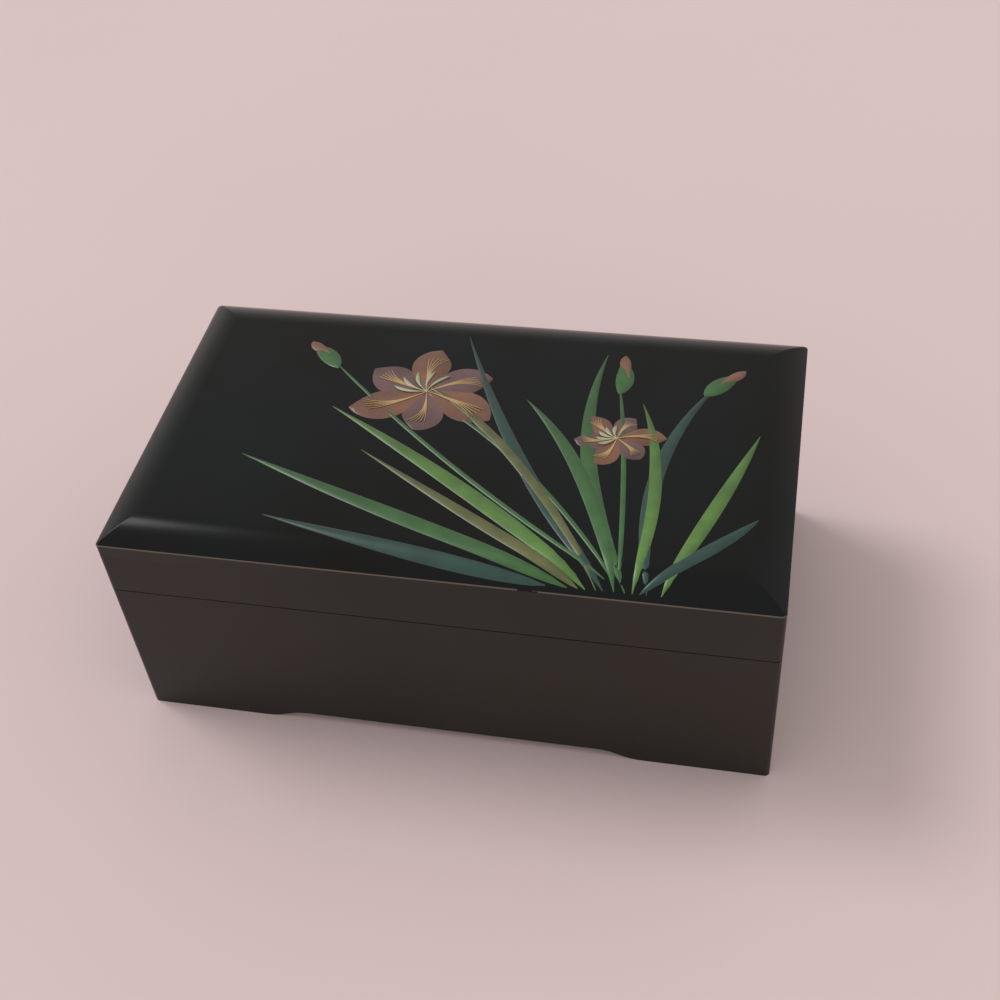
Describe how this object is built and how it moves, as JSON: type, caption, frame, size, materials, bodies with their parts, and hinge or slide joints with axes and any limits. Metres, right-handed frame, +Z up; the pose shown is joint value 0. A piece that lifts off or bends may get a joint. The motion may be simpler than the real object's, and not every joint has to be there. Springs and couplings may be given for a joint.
{
  "type": "musical jewelry box",
  "caption": "Lacquered box with a hinged bevelled lid, lined compartments and a key-wound music movement.",
  "frame": {"origin": "on the floor under the middle of the whole object, hinges included", "axes": "+X to the right along the front, +Y from front to back, +Z up"},
  "size_m": [0.2, 0.1178, 0.08],
  "materials": {
    "lacquer": "black gloss lacquer",
    "velvet": "dark red velvet",
    "brass": "polished",
    "steel": "satin",
    "mirror": "polished",
    "acrylic": "clear"
  },
  "bodies": {
    "box": {"front_wall": "lacquer", "back_wall": "lacquer", "left_wall": "lacquer", "right_wall": "lacquer", "bottom_panel": "lacquer", "long_divider": "velvet", "cross_divider": "velvet", "floor_pad": "velvet", "ring_roll_1": "velvet", "ring_roll_2": "velvet", "ring_roll_3": "velvet", "cover_ledge_front": "lacquer", "cover_ledge_rear": "lacquer", "music_cover": "acrylic", "hinge_left_body_leaf": "brass", "hinge_left_pin": "brass", "hinge_left_body_screw_1": "brass", "hinge_left_body_screw_2": "brass", "hinge_right_body_leaf": "brass", "hinge_right_pin": "brass", "hinge_right_body_screw_1": "brass", "hinge_right_body_screw_2": "brass", "bedplate": "steel", "comb": "steel", "comb_screw_1": "brass", "comb_screw_2": "brass", "bearing_left": "brass", "bearing_right": "brass", "governor_post": "brass", "stop_guide": "brass", "movement_screw_1": "steel", "movement_screw_2": "steel", "movement_screw_3": "steel"},
    "lid": {"lid_panel": "lacquer", "lid_front_rail": "lacquer", "lid_back_rail": "lacquer", "lid_left_rail": "lacquer", "lid_right_rail": "lacquer", "lid_liner": "velvet", "lid_mirror": "mirror", "hinge_left_lid_leaf": "brass", "hinge_left_lid_screw_1": "brass", "hinge_left_lid_screw_2": "brass", "hinge_right_lid_leaf": "brass", "hinge_right_lid_screw_1": "brass", "hinge_right_lid_screw_2": "brass"},
    "cylinder": {"pinned_cylinder": "brass", "cylinder_pinion": "steel", "cylinder_wheel": "brass"},
    "barrel": {"spring_barrel": "brass", "mainspring": "steel"},
    "governor": {"governor_fly": "steel"},
    "winder": {"winding_arbor": "steel", "winding_key": "brass"},
    "stop": {"stop_pin": "steel"}
  },
  "joints": [
    {"name": "lid_hinge", "type": "hinge", "parent": "box", "child": "lid", "pos_m": [0, 0.05695, 0.05615], "axis": [-1, 0, 0], "range_deg": [0, 95]},
    {"name": "cylinder_spin", "type": "hinge", "parent": "box", "child": "cylinder", "pos_m": [0.061, 0.02065, 0.0308], "axis": [1, 0, 0], "continuous": true},
    {"name": "barrel_spin", "type": "hinge", "parent": "box", "child": "barrel", "pos_m": [0.044, 0.02065, 0.025], "axis": [0, 0, 1], "continuous": true},
    {"name": "governor_spin", "type": "hinge", "parent": "box", "child": "governor", "pos_m": [0.08, 0.02915, 0.0308], "axis": [1, 0, 0], "continuous": true},
    {"name": "winding_turn", "type": "hinge", "parent": "box", "child": "winder", "pos_m": [0.044, 0.02065, 0.014], "axis": [0, 0, -1], "continuous": true},
    {"name": "stop_slide", "type": "slide", "parent": "box", "child": "stop", "axis": [0, 0, 1], "range_m": [0, 0.0035]}
  ],
  "couplings": [
    {"joint": "barrel_spin", "follows": "cylinder_spin", "ratio": 0.25},
    {"joint": "governor_spin", "follows": "cylinder_spin", "ratio": -3.25},
    {"joint": "stop_slide", "follows": "lid_hinge", "m_per_rad": 0.0021}
  ]
}
